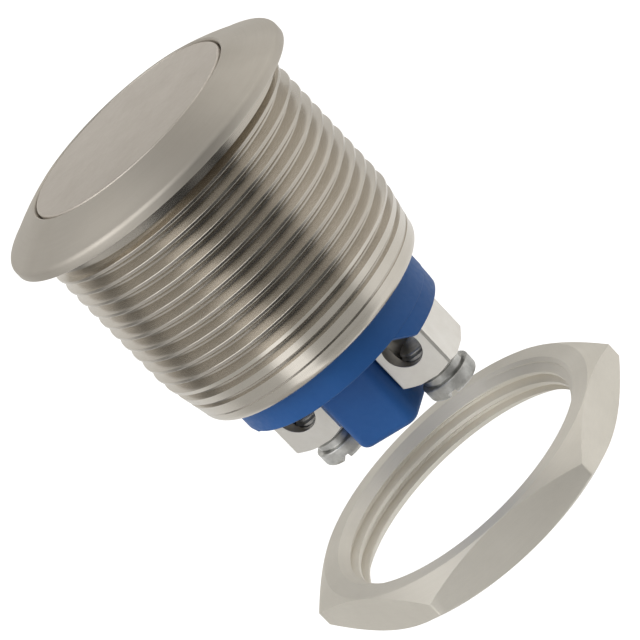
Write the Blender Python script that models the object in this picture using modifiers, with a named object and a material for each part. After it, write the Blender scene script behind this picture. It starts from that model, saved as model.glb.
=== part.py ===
"""Anti vandal push button for a 19 mm panel hole, with two screw terminals and its nut taken off.

Units are metres and +Z points out of the panel, at the finger. The origin is the centre of the flange's
underside, which sits on the panel. The terminals stand on the X axis.
"""

import math

import bmesh
import bpy

MM = 0.001

# Thread of the barrel and the nut
THREAD_D = 18.9 * MM
PITCH = 1.0 * MM
THREAD_DEPTH = 0.61 * MM
THREAD_ROOT_FLAT = 0.125 * MM
TURN_STEPS = 36
SMALL_STEPS = 24
SMALLEST_STEPS = 12
WELD = 0.002 * MM

# Flange and barrel
FLANGE_D = 22.0 * MM
FLANGE_HEIGHT = 2.1 * MM
RIM_HEIGHT = 0.6 * MM
RIM_CORNER = 0.1 * MM
BEZEL_LAND = 0.15 * MM
BEZEL_CROWN = 0.08 * MM
NECK_LENGTH = 0.65 * MM
UNDERCUT_DEPTH = 0.2 * MM
UNDERCUT_GAP = 0.15 * MM
THREAD_TOP = 0.5 * MM
THREAD_START = math.radians(130)
BARREL_LENGTH = 15.25 * MM
BARREL_WALL = 0.69 * MM
TAPER_LENGTH = 3.15 * MM
TAPER_DROP = 0.65 * MM
ROLL_RADIUS = 0.8 * MM
ROLL_THICKNESS = 0.9 * MM
ROLL_REACH = 0.6 * MM
FRONT_LIP = 0.5 * MM
FRONT_LIP_DEPTH = 1.0 * MM

# Actuator
TRAVEL = 2.0 * MM
RUNNING_GAP = 0.15 * MM
LAND_GAP = 0.2 * MM
STOP_GAP = 0.3 * MM
FACE_THICKNESS = 1.5 * MM
FACE_EDGE = 0.15 * MM
LAND_HEIGHT = 0.7 * MM
SKIRT_WALL = 1.65 * MM
BOSS_D = 4.8 * MM
BOSS_LENGTH = 2.1 * MM
SPIGOT_D = 1.9 * MM
SPIGOT_LENGTH = 1.4 * MM
PRESS_GAP = 0.1 * MM

# Seals
SEAL_CORD_D = 1.0 * MM
BASE_SEAL_CORD_D = 0.8 * MM
SEAL_GAP = 0.1 * MM

# Plunger, guide and springs
STEM_D = 4.2 * MM
SPINDLE_D = 1.8 * MM
GUIDE_THICKNESS = 1.2 * MM
GUIDE_WALL = 0.75 * MM
COLLAR_WALL = 1.15 * MM
GUIDE_ROOM = 1.1 * MM
RETURN_WIRE_D = 0.6 * MM
RETURN_COIL_D = 9.2 * MM
CONTACT_WIRE_D = 0.3 * MM
CONTACT_COIL_D = 2.9 * MM
RETURN_TURNS = 4
CONTACT_TURNS = 2
CLOSED_TURN_SHARE = 1.2
SEAT_GAP = 0.1 * MM

# Contacts
STRIP_THICKNESS = 0.4 * MM
STRIP_WIDTH = 2.4 * MM
STRIP_EDGE = 0.45 * MM
TIP_D = 1.1 * MM
TIP_HEAD = 0.4 * MM
TIP_SHANK_D = 0.6 * MM
CONTACT_GAP = 1.3 * MM
CONTACT_STEP = 1.85 * MM
FIT_GAP = 0.05 * MM
CLIP_THICKNESS = 0.3 * MM
CLIP_D = 2.8 * MM
CLIP_SEAT_D = 1.3 * MM
CLIP_SLOT = 1.1 * MM
SPINDLE_TAIL = 0.5 * MM

# Base
BASE_GAP = 0.15 * MM
BASE_FLANGE = 1.8 * MM
BASE_PROTRUSION = 2.1 * MM
BASE_EDGE = 0.12 * MM
WELL_DEPTH = 0.85 * MM
WELL_GAP = 0.3 * MM
RIM_WALL_STEP = 0.05 * MM
RIM_WALL = 0.3 * MM
RIM_WALL_HEIGHT = 1.15 * MM
RIM_WALL_WIDTH = 5.7 * MM
RIM_WALL_FOOT = 8.3 * MM
BARRIER_LENGTH = 6.25 * MM
BARRIER_DEPTH = 5.7 * MM
BARRIER_CORNER = 0.9 * MM
BARRIER_END_CORNER = 0.55 * MM
BARRIER_GAP = 0.15 * MM

# Terminals and their screws
BLOCK_SIZE = 4.0 * MM
BLOCK_REACH = 4.55 * MM
BLOCK_EDGE = 0.15 * MM
BLOCK_CHAMFER_D = 4.2 * MM
BLOCK_CHAMFER_ANGLE = math.radians(30)
BLOCK_CORNER_GAP = 0.2 * MM
POCKET_DEPTH = 0.95 * MM
POCKET_GAP = 0.12 * MM
STUD_D = 1.8 * MM
RIVET_NECK_D = 1.3 * MM
WIRE_HOLE_D = 2.6 * MM
WIRE_HOLE_DEPTH = 1.85 * MM
SCREW_D = 3.0 * MM
SCREW_GAP = 0.1 * MM
SCREW_LENGTH = 2.8 * MM
SCREW_HEAD_D = 3.6 * MM
SCREW_HEAD_HEIGHT = 1.1 * MM
SCREW_HEAD_CORNER = 0.35 * MM
SCREW_OUT = 0.9 * MM
SCREW_ROOM = 0.6 * MM
SLOT_WIDTH = 0.6 * MM
SLOT_DEPTH = 0.55 * MM
SLOT_TURN = math.radians(12)

# Nut, at the place where it lies taken off
NUT_WALL = 1.4 * MM
NUT_THICKNESS = 3.0 * MM
NUT_CHAMFER_ANGLE = math.radians(30)
NUT_GAP = 0.15 * MM
NUT_COUNTERSINK = 0.2 * MM
NUT_TOP_Z = -29.0 * MM

# Radii that follow from them
CREST_R = THREAD_D / 2
ROOT_R = CREST_R - THREAD_DEPTH
NECK_R = ROOT_R - FIT_GAP
BODY_BORE_R = ROOT_R - BARREL_WALL
FRONT_BORE_R = BODY_BORE_R - FRONT_LIP
REAR_BORE_R = BODY_BORE_R - ROLL_REACH
ACTUATOR_R = FRONT_BORE_R - RUNNING_GAP
LAND_R = BODY_BORE_R - LAND_GAP
SEAL_R = BODY_BORE_R - SEAL_GAP - SEAL_CORD_D / 2
SEAL_GROOVE_R = SEAL_R - SEAL_CORD_D / 2 - SEAL_GAP
BASE_R = REAR_BORE_R - BASE_GAP
BASE_FLANGE_R = BODY_BORE_R - BASE_GAP
BASE_SEAL_R = BODY_BORE_R - SEAL_GAP - BASE_SEAL_CORD_D / 2
BASE_GROOVE_R = BASE_SEAL_R - BASE_SEAL_CORD_D / 2 - SEAL_GAP
COLLAR_BORE_R = STEM_D / 2 + RUNNING_GAP
WELL_R = CLIP_D / 2 + WELL_GAP
BLOCK_CORNER_R = BASE_R - RIM_WALL_STEP - RIM_WALL - BLOCK_CORNER_GAP
TERMINAL_X = math.sqrt(BLOCK_CORNER_R**2 - (BLOCK_SIZE / 2) ** 2) - BLOCK_SIZE / 2
TIP_X = TERMINAL_X - CONTACT_STEP
BARRIER_WIDTH = 2 * (TERMINAL_X - BLOCK_SIZE / 2 - BARRIER_GAP)
NUT_FLATS = THREAD_D + 2 * (NUT_GAP + NUT_WALL)

# Heights that follow, from the actuator's face down
FACE_UNDER_Z = FLANGE_HEIGHT - FACE_THICKNESS
BOSS_END_Z = FACE_UNDER_Z - BOSS_LENGTH
SHOULDER_Z = -FRONT_LIP_DEPTH - STOP_GAP
SEAL_GROOVE = SEAL_CORD_D + 2 * SEAL_GAP
SEAL_TOP_Z = SHOULDER_Z - LAND_HEIGHT
SKIRT_END_Z = SEAL_TOP_Z - SEAL_GROOVE - LAND_HEIGHT

# Heights that follow, from the barrel's rolled end up
ROLL_SEAT_Z = -BARREL_LENGTH + ROLL_THICKNESS
BASE_FLANGE_Z = ROLL_SEAT_Z + STOP_GAP
BASE_INNER_Z = BASE_FLANGE_Z + BASE_FLANGE
STRIP_Z = BASE_INNER_Z + FIT_GAP
FIXED_TIP_Z = STRIP_Z + STRIP_THICKNESS + FIT_GAP
FIXED_TIP_TOP_Z = FIXED_TIP_Z + TIP_HEAD
MOVING_TIP_Z = FIXED_TIP_TOP_Z + CONTACT_GAP
BRIDGE_Z = MOVING_TIP_Z + TIP_HEAD + FIT_GAP
BRIDGE_TOP_Z = BRIDGE_Z + STRIP_THICKNESS
CLIP_TOP_Z = BRIDGE_Z - RUNNING_GAP
GUIDE_UNDER_Z = BRIDGE_TOP_Z + GUIDE_ROOM
GUIDE_TOP_Z = GUIDE_UNDER_Z + GUIDE_THICKNESS
COLLAR_TOP_Z = BOSS_END_Z - TRAVEL - SEAT_GAP
STEM_END_Z = GUIDE_TOP_Z + STOP_GAP

# Heights that follow, from the base's outer face down
BASE_FACE_Z = -BARREL_LENGTH - BASE_PROTRUSION
BLOCK_TOP_Z = BASE_FACE_Z + POCKET_DEPTH - STOP_GAP
BLOCK_END_Z = BASE_FACE_Z - BLOCK_REACH
WIRE_HOLE_Z = BASE_FACE_Z - WIRE_HOLE_DEPTH
HEAD_UNDER_Z = BLOCK_END_Z - SCREW_OUT

SIDES = {"left": -1, "right": 1}


def clear_scene():
    for obj in list(bpy.data.objects):
        bpy.data.objects.remove(obj, do_unlink=True)


def new_collection(name):
    collection = bpy.data.collections.new(name)
    bpy.context.scene.collection.children.link(collection)
    return collection


def make_material(name, colour, roughness, metallic):
    material = bpy.data.materials.new(name)
    material.use_nodes = True
    surface = material.node_tree.nodes["Principled BSDF"]
    surface.inputs["Base Color"].default_value = (*colour, 1)
    surface.inputs["Roughness"].default_value = roughness
    surface.inputs["Metallic"].default_value = metallic
    material.diffuse_color = (*colour, 1)
    return material


clear_scene()
PARTS = new_collection("anti_vandal_push_button")
CUTTERS = new_collection("cutters")

SATIN_NICKEL = make_material("satin_nickel", (0.45, 0.42, 0.38), 0.32, 1.0)
STEEL = make_material("bright_steel", (0.60, 0.60, 0.58), 0.25, 1.0)
ZINC_STEEL = make_material("zinc_steel", (0.20, 0.20, 0.19), 0.45, 1.0)
PLATED_BRASS = make_material("plated_brass", (0.66, 0.63, 0.58), 0.35, 1.0)
COPPER = make_material("copper_strip", (0.72, 0.38, 0.22), 0.3, 1.0)
SILVER = make_material("contact_silver", (0.85, 0.84, 0.80), 0.25, 1.0)
BLUE_PLASTIC = make_material("blue_plastic", (0.02, 0.075, 0.24), 0.55, 0.0)
BLACK_PLASTIC = make_material("black_plastic", (0.02, 0.02, 0.022), 0.5, 0.0)
WHITE_PLASTIC = make_material("white_plastic", (0.75, 0.74, 0.70), 0.5, 0.0)
BLACK_RUBBER = make_material("black_rubber", (0.015, 0.015, 0.015), 0.8, 0.0)


def shade(mesh, angle=35):
    mesh.shade_smooth()
    mesh.set_sharp_from_angle(angle=math.radians(angle))


def place(mesh, name, material, location=(0, 0, 0)):
    """Makes a part from a mesh."""
    obj = bpy.data.objects.new(name, mesh)
    obj.location = location
    obj.data.materials.append(material)
    PARTS.objects.link(obj)
    return obj


def hide(obj):
    """Makes an object a cutter or a helper, which is no part by itself."""
    for collection in list(obj.users_collection):
        collection.objects.unlink(obj)
    CUTTERS.objects.link(obj)
    obj.hide_render = True
    obj.display_type = "WIRE"
    return obj


def settled_mesh(obj):
    """The object's mesh with its modifiers applied."""
    bpy.context.view_layer.update()
    evaluated = obj.evaluated_get(bpy.context.evaluated_depsgraph_get())
    return bpy.data.meshes.new_from_object(evaluated)


def screw_sweep(profile, closed, steps, turns=1, lift=0.0):
    """Sweeps a profile of (radius, height) points round Z, rising by lift each turn, to a mesh."""
    mesh = bpy.data.meshes.new("profile")
    edges = [(i, i + 1) for i in range(len(profile) - 1)]
    if closed:
        edges.append((len(profile) - 1, 0))
    mesh.from_pydata([(r, 0, z) for r, z in profile], edges, [])
    obj = bpy.data.objects.new("profile", mesh)
    PARTS.objects.link(obj)
    screw = obj.modifiers.new("turn", "SCREW")
    screw.steps = screw.render_steps = steps
    screw.iterations = turns
    screw.screw_offset = lift
    screw.use_merge_vertices = lift == 0.0
    screw.merge_threshold = 0.000001
    swept = settled_mesh(obj)
    bpy.data.objects.remove(obj)
    bpy.data.meshes.remove(mesh)
    return swept


def turned(name, profile, material, closed=True, steps=TURN_STEPS, location=(0, 0, 0)):
    """A turned piece. An open profile starts and ends on the axis."""
    mesh = screw_sweep(profile, closed, steps)
    shade(mesh)
    return place(mesh, name, material, location)


def arc(centre, radius, start, end, count):
    """Points of an arc in the (radius, height) plane, angles in degrees from +X."""
    points = []
    for i in range(count + 1):
        angle = math.radians(start + (end - start) * i / count)
        points.append((centre[0] + radius * math.cos(angle), centre[1] + radius * math.sin(angle)))
    return points


def box(name, low, high, material):
    bm = bmesh.new()
    bmesh.ops.create_cube(bm, size=1)
    for vertex in bm.verts:
        for axis in range(3):
            middle = (low[axis] + high[axis]) / 2
            vertex.co[axis] = middle + vertex.co[axis] * (high[axis] - low[axis])
    mesh = bpy.data.meshes.new(name)
    bm.to_mesh(mesh)
    bm.free()
    return place(mesh, name, material)


def cylinder_cutter(name, radius, low_z, high_z, x=0.0, steps=SMALL_STEPS):
    """A cutter along Z, from low_z to high_z, turned half a step so that no facets share a plane."""
    profile = [(0, high_z), (radius, high_z), (radius, low_z), (0, low_z)]
    cutter = turned(name, profile, STEEL, closed=False, steps=steps, location=(x, 0, 0))
    cutter.rotation_euler = (0, 0, math.pi / steps)
    return hide(cutter)


def boolean(obj, other, operation):
    modifier = obj.modifiers.new(f"{operation.lower()} {other.name}", "BOOLEAN")
    modifier.operation = operation
    modifier.solver = "EXACT"
    modifier.object = other


def weld(obj):
    """Joins the points that a cut left in pairs where two facets meet on one radial plane."""
    modifier = obj.modifiers.new("weld", "WELD")
    modifier.merge_threshold = WELD


def coil(name, coil_d, wire_d, low_z, high_z, open_turns):
    """A compression spring with one closed turn at each end."""
    closed_pitch = wire_d * CLOSED_TURN_SHARE
    low = low_z + wire_d / 2
    high = high_z - wire_d / 2
    open_pitch = (high - low - 2 * closed_pitch) / open_turns
    turns = open_turns + 2
    curve = bpy.data.curves.new(name, "CURVE")
    curve.dimensions = "3D"
    curve.bevel_depth = wire_d / 2
    curve.bevel_resolution = 1
    curve.use_fill_caps = True
    count = turns * SMALLEST_STEPS
    spline = curve.splines.new("POLY")
    spline.points.add(count)
    for i, point in enumerate(spline.points):
        turn = turns * i / count
        rise = closed_pitch * (min(turn, 1) + max(turn - turns + 1, 0))
        rise += open_pitch * min(max(turn - 1, 0), open_turns)
        angle = 2 * math.pi * turn
        x, y = math.cos(angle) * coil_d / 2, math.sin(angle) * coil_d / 2
        point.co = (x, y, low + rise, 1)
    obj = bpy.data.objects.new(name, curve)
    obj.data.materials.append(STEEL)
    PARTS.objects.link(obj)


def thread_cutter():
    """The right-hand helical groove of the barrel's thread, as one closed mesh."""
    flank = THREAD_DEPTH + FIT_GAP / 2
    half_root = THREAD_ROOT_FLAT / 2
    half_mouth = half_root + flank * math.tan(math.radians(30))
    mouth_r = ROOT_R + flank
    outer_r = CREST_R + PITCH / 2
    turns = math.ceil((BARREL_LENGTH - NECK_LENGTH) / PITCH) - 1
    start = -THREAD_TOP - turns * PITCH
    profile = [
        (ROOT_R, start + half_root),
        (mouth_r, start + half_mouth),
        (outer_r, start + half_mouth),
        (outer_r, start - half_mouth),
        (mouth_r, start - half_mouth),
        (ROOT_R, start - half_root),
    ]
    mesh = screw_sweep(profile, True, TURN_STEPS, turns, PITCH)
    bm = bmesh.new()
    bm.from_mesh(mesh)
    bmesh.ops.holes_fill(bm, edges=[e for e in bm.edges if e.is_boundary])
    bmesh.ops.recalc_face_normals(bm, faces=bm.faces)
    bm.to_mesh(mesh)
    bm.free()
    shade(mesh)
    groove = place(mesh, "thread_groove", STEEL)
    groove.rotation_euler = (0, 0, THREAD_START)
    return hide(groove)


def flange_profile():
    """The flange from its front bore over the crowned bezel to its underside."""
    rim_r = FLANGE_D / 2
    inner_r = FRONT_BORE_R + BEZEL_LAND
    corner_r = rim_r - RIM_CORNER
    corner_z = RIM_HEIGHT + RIM_CORNER
    points = [(FRONT_BORE_R, FLANGE_HEIGHT - BEZEL_LAND)]
    steps = 5
    for i in range(steps):
        share = i / steps
        crown = 4 * BEZEL_CROWN * share * (1 - share)
        r = inner_r + (corner_r - inner_r) * share
        z = FLANGE_HEIGHT + (corner_z - FLANGE_HEIGHT) * share + crown
        points.append((r, z))
    points += arc((corner_r, RIM_HEIGHT), RIM_CORNER, 65, 0, 3)
    points += [(rim_r, 0)]
    return points


def make_housing():
    taper_z = -BARREL_LENGTH + ROLL_RADIUS
    taper_r = CREST_R - TAPER_DROP
    undercut_r = CREST_R + UNDERCUT_GAP
    profile = flange_profile()
    profile += [
        (undercut_r, 0),
        (undercut_r, UNDERCUT_DEPTH),
        (NECK_R, UNDERCUT_DEPTH),
        (NECK_R, -NECK_LENGTH),
        (CREST_R, -NECK_LENGTH - THREAD_DEPTH / 2),
        (CREST_R, taper_z + TAPER_LENGTH),
        (taper_r, taper_z),
    ]
    profile += arc((taper_r - ROLL_RADIUS, taper_z), ROLL_RADIUS, -12, -90, 5)
    profile += [
        (REAR_BORE_R, -BARREL_LENGTH),
        (REAR_BORE_R, ROLL_SEAT_Z),
        (BODY_BORE_R, ROLL_SEAT_Z),
        (BODY_BORE_R, -FRONT_LIP_DEPTH),
        (FRONT_BORE_R, -FRONT_LIP_DEPTH),
    ]
    housing = turned("housing", profile, SATIN_NICKEL)
    boolean(housing, thread_cutter(), "DIFFERENCE")
    weld(housing)


def make_actuator():
    spigot_hole_r = SPIGOT_D / 2 + PRESS_GAP
    spigot_hole_z = BOSS_END_Z + SPIGOT_LENGTH + STOP_GAP
    skirt_r = LAND_R - SKIRT_WALL
    turned(
        "actuator",
        [
            (0, FLANGE_HEIGHT),
            (ACTUATOR_R - FACE_EDGE, FLANGE_HEIGHT),
            (ACTUATOR_R, FLANGE_HEIGHT - FACE_EDGE),
            (ACTUATOR_R, SHOULDER_Z),
            (LAND_R, SHOULDER_Z),
            (LAND_R, SEAL_TOP_Z),
            (SEAL_GROOVE_R, SEAL_TOP_Z),
            (SEAL_GROOVE_R, SEAL_TOP_Z - SEAL_GROOVE),
            (LAND_R, SEAL_TOP_Z - SEAL_GROOVE),
            (LAND_R, SKIRT_END_Z),
            (skirt_r, SKIRT_END_Z),
            (skirt_r, FACE_UNDER_Z),
            (BOSS_D / 2, FACE_UNDER_Z),
            (BOSS_D / 2, BOSS_END_Z),
            (spigot_hole_r, BOSS_END_Z),
            (spigot_hole_r, spigot_hole_z),
            (0, spigot_hole_z),
        ],
        SATIN_NICKEL,
        closed=False,
    )


def ring_seal(name, ring_r, cord_d, z):
    turned(name, arc((ring_r, z), cord_d / 2, 360, 60, 5), BLACK_RUBBER, steps=SMALL_STEPS)


def make_plunger():
    stem_top_z = BOSS_END_Z - SEAT_GAP
    clip_low_z = CLIP_TOP_Z - CLIP_THICKNESS
    spindle_r = SPINDLE_D / 2
    seat_r = CLIP_SEAT_D / 2
    tail_z = clip_low_z - SPINDLE_TAIL
    turned(
        "plunger",
        [
            (0, stem_top_z + SPIGOT_LENGTH),
            (SPIGOT_D / 2, stem_top_z + SPIGOT_LENGTH),
            (SPIGOT_D / 2, stem_top_z),
            (STEM_D / 2, stem_top_z),
            (STEM_D / 2, STEM_END_Z),
            (spindle_r, STEM_END_Z),
            (spindle_r, CLIP_TOP_Z + FIT_GAP),
            (seat_r, CLIP_TOP_Z + FIT_GAP),
            (seat_r, clip_low_z - FIT_GAP),
            (spindle_r, clip_low_z - FIT_GAP),
            (spindle_r, tail_z),
            (0, tail_z),
        ],
        WHITE_PLASTIC,
        closed=False,
        steps=SMALL_STEPS,
    )


def make_bridge_clip():
    """The open clip that holds the contact bridge on the plunger's spindle."""
    inner_r = CLIP_SEAT_D / 2 + FIT_GAP
    low_z = CLIP_TOP_Z - CLIP_THICKNESS
    clip = turned(
        "bridge_clip",
        [(inner_r, CLIP_TOP_Z), (CLIP_D / 2, CLIP_TOP_Z), (CLIP_D / 2, low_z), (inner_r, low_z)],
        STEEL,
        steps=SMALL_STEPS,
    )
    slot = box(
        "clip_slot",
        (-CLIP_SLOT / 2, 0, low_z - CLIP_THICKNESS),
        (CLIP_SLOT / 2, CLIP_D, CLIP_TOP_Z + CLIP_THICKNESS),
        STEEL,
    )
    boolean(clip, hide(slot), "DIFFERENCE")


def make_guide():
    """The moulding that guides the plunger, seats the return spring and clamps the base."""
    collar_r = COLLAR_BORE_R + COLLAR_WALL
    skirt_r = BASE_FLANGE_R - GUIDE_WALL
    skirt_end_z = BASE_INNER_Z + SEAT_GAP
    turned(
        "contact_guide",
        [
            (COLLAR_BORE_R, COLLAR_TOP_Z),
            (collar_r, COLLAR_TOP_Z),
            (collar_r, GUIDE_TOP_Z),
            (BASE_FLANGE_R, GUIDE_TOP_Z),
            (BASE_FLANGE_R, skirt_end_z),
            (skirt_r, skirt_end_z),
            (skirt_r, GUIDE_UNDER_Z),
            (COLLAR_BORE_R, GUIDE_UNDER_Z),
        ],
        BLACK_PLASTIC,
        steps=SMALL_STEPS,
    )


def make_springs():
    coil(
        "return_spring",
        RETURN_COIL_D,
        RETURN_WIRE_D,
        GUIDE_TOP_Z + SEAT_GAP,
        FACE_UNDER_Z - SEAT_GAP,
        RETURN_TURNS,
    )
    coil(
        "contact_spring",
        CONTACT_COIL_D,
        CONTACT_WIRE_D,
        BRIDGE_TOP_Z + SEAT_GAP,
        STEM_END_Z - SEAT_GAP,
        CONTACT_TURNS,
    )


def rivet_tip(name, x, head_z, shank_up):
    """A silver contact: a round head, and a shank in the strip above or below it."""
    head_r, shank_r = TIP_D / 2, TIP_SHANK_D / 2
    top_z = head_z + TIP_HEAD
    shank = STRIP_THICKNESS
    if shank_up:
        profile = [(0, top_z + shank), (shank_r, top_z + shank), (shank_r, top_z)]
        profile += [(head_r, top_z), (head_r, head_z), (0, head_z)]
    else:
        profile = [(0, top_z), (head_r, top_z), (head_r, head_z)]
        profile += [(shank_r, head_z), (shank_r, head_z - shank), (0, head_z - shank)]
    turned(name, profile, SILVER, closed=False, steps=SMALLEST_STEPS, location=(x, 0, 0))


def make_bridge():
    reach = TIP_X + TIP_D / 2 + STRIP_EDGE
    bridge = box(
        "contact_bridge",
        (-reach, -STRIP_WIDTH / 2, BRIDGE_Z),
        (reach, STRIP_WIDTH / 2, BRIDGE_TOP_Z),
        COPPER,
    )
    low_z, high_z = BRIDGE_Z - STRIP_THICKNESS, BRIDGE_TOP_Z + STRIP_THICKNESS
    hole_r = SPINDLE_D / 2 + RUNNING_GAP
    boolean(bridge, cylinder_cutter("spindle_hole", hole_r, low_z, high_z), "DIFFERENCE")
    for side, sign in SIDES.items():
        hole_r = TIP_SHANK_D / 2 + FIT_GAP
        hole = cylinder_cutter(
            f"bridge_tip_hole_{side}", hole_r, low_z, high_z, sign * TIP_X, SMALLEST_STEPS
        )
        boolean(bridge, hole, "DIFFERENCE")
        rivet_tip(f"moving_tip_{side}", sign * TIP_X, MOVING_TIP_Z, True)


def make_fixed_contact(side, sign):
    ends = [
        sign * (TIP_X - TIP_D / 2 - FIT_GAP),
        sign * (TERMINAL_X + RIVET_NECK_D / 2 + 2 * STRIP_EDGE),
    ]
    top_z = STRIP_Z + STRIP_THICKNESS
    strip = box(
        f"fixed_contact_{side}",
        (min(ends), -STRIP_WIDTH / 2, STRIP_Z),
        (max(ends), STRIP_WIDTH / 2, top_z),
        COPPER,
    )
    for what, x, r in (("tip", TIP_X, TIP_SHANK_D / 2), ("rivet", TERMINAL_X, RIVET_NECK_D / 2)):
        low_z, high_z = STRIP_Z - STRIP_THICKNESS, top_z + STRIP_THICKNESS
        hole = cylinder_cutter(
            f"{what}_hole_{side}", r + FIT_GAP, low_z, high_z, sign * x, SMALLEST_STEPS
        )
        boolean(strip, hole, "DIFFERENCE")
    rivet_tip(f"fixed_tip_{side}", sign * TIP_X, FIXED_TIP_Z, False)


def make_base():
    """The blue moulding: a flange held by the rolled rim, a disc, two rim walls and the barrier."""
    seal_z = BASE_FLANGE_Z + BASE_FLANGE / 2
    groove = BASE_SEAL_CORD_D + 2 * SEAL_GAP
    well_z = BASE_INNER_Z - WELL_DEPTH
    base = turned(
        "base",
        [
            (0, well_z),
            (WELL_R, well_z),
            (WELL_R, BASE_INNER_Z),
            (BASE_FLANGE_R, BASE_INNER_Z),
            (BASE_FLANGE_R, seal_z + groove / 2),
            (BASE_GROOVE_R, seal_z + groove / 2),
            (BASE_GROOVE_R, seal_z - groove / 2),
            (BASE_FLANGE_R, seal_z - groove / 2),
            (BASE_FLANGE_R, BASE_FLANGE_Z),
            (BASE_R, BASE_FLANGE_Z),
            (BASE_R, BASE_FACE_Z + BASE_EDGE),
            (BASE_R - BASE_EDGE, BASE_FACE_Z),
            (0, BASE_FACE_Z),
        ],
        BLUE_PLASTIC,
        closed=False,
    )
    ring_seal("base_seal", BASE_SEAL_R, BASE_SEAL_CORD_D, seal_z)
    boolean(base, make_rim_walls(), "UNION")
    boolean(base, make_barrier(), "UNION")
    for side, sign in SIDES.items():
        half = BLOCK_SIZE / 2 + POCKET_GAP
        pocket = box(
            f"terminal_pocket_{side}",
            (sign * TERMINAL_X - half, -half, BASE_FACE_Z - RIM_WALL_HEIGHT * 2),
            (sign * TERMINAL_X + half, half, BASE_FACE_Z + POCKET_DEPTH),
            BLUE_PLASTIC,
        )
        boolean(base, hide(pocket), "DIFFERENCE")
        hole_r = STUD_D / 2 + PRESS_GAP
        hole = cylinder_cutter(
            f"stud_hole_{side}", hole_r, BASE_FACE_Z, BASE_INNER_Z + STUD_D, sign * TERMINAL_X
        )
        boolean(base, hole, "DIFFERENCE")


def make_rim_walls():
    """Two low walls on the disc's rim, outside the terminals, with sloping ends."""
    outer_r = BASE_R - RIM_WALL_STEP
    inner_r = outer_r - RIM_WALL
    top_z = BASE_FACE_Z + BASE_EDGE * 2
    low_z = BASE_FACE_Z - RIM_WALL_HEIGHT
    walls = turned(
        "rim_walls",
        [(inner_r, top_z), (outer_r, top_z), (outer_r, low_z), (inner_r, low_z)],
        BLUE_PLASTIC,
    )
    half = RIM_WALL_WIDTH / 2
    keep = box(
        "rim_wall_width",
        (-2 * outer_r, -half, low_z - RIM_WALL),
        (2 * outer_r, half, top_z + RIM_WALL),
        BLUE_PLASTIC,
    )
    slope = (RIM_WALL_FOOT - RIM_WALL_WIDTH) / 2 / RIM_WALL_HEIGHT
    for vertex in keep.data.vertices:
        widening = slope * (vertex.co.z - low_z)
        vertex.co.y += math.copysign(widening, vertex.co.y)
    boolean(walls, hide(keep), "INTERSECT")
    return hide(walls)


def make_barrier():
    """The wall between the terminals, with rounded corners and a rounded end."""
    half_x, half_y = BARRIER_WIDTH / 2, BARRIER_DEPTH / 2
    low_z = BASE_FACE_Z - BARRIER_LENGTH
    barrier = box(
        "barrier",
        (-half_x, -half_y, low_z),
        (half_x, half_y, BASE_FACE_Z + BASE_EDGE * 2),
        BLUE_PLASTIC,
    )
    bm = bmesh.new()
    bm.from_mesh(barrier.data)
    upright = [e for e in bm.edges if abs(e.verts[0].co.z - e.verts[1].co.z) > BARRIER_LENGTH / 2]
    bmesh.ops.bevel(
        bm, geom=upright, offset=BARRIER_CORNER, segments=4, profile=0.5, affect="EDGES"
    )
    end = [e for e in bm.edges if all(v.co.z < low_z + BARRIER_END_CORNER / 2 for v in e.verts)]
    bmesh.ops.bevel(
        bm, geom=end, offset=BARRIER_END_CORNER, segments=3, profile=0.5, affect="EDGES"
    )
    bm.to_mesh(barrier.data)
    bm.free()
    shade(barrier.data)
    return hide(barrier)


def bevelled_block(name, low, high, edge):
    """A square bar along Z whose upright edges are broken."""
    block = box(name, low, high, PLATED_BRASS)
    bm = bmesh.new()
    bm.from_mesh(block.data)
    upright = [e for e in bm.edges if abs(e.verts[0].co.z - e.verts[1].co.z) > edge]
    bmesh.ops.bevel(bm, geom=upright, offset=edge, segments=1, affect="EDGES")
    bm.to_mesh(block.data)
    bm.free()
    return block


def chamfer_envelope(name, x, low_z, high_z, end_r, side_r, angle, steps, both_ends=False):
    """A turned shape that leaves its chamfer on the bar that it is intersected with."""
    drop = (side_r - end_r) * math.tan(angle)
    top = [(0, high_z), (end_r, high_z), (side_r, high_z - drop)]
    if not both_ends:
        top = [(0, high_z), (side_r, high_z)]
    profile = top + [(side_r, low_z + drop), (end_r, low_z), (0, low_z)]
    envelope = turned(name, profile, STEEL, closed=False, steps=steps, location=(x, 0, 0))
    return hide(envelope)


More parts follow.
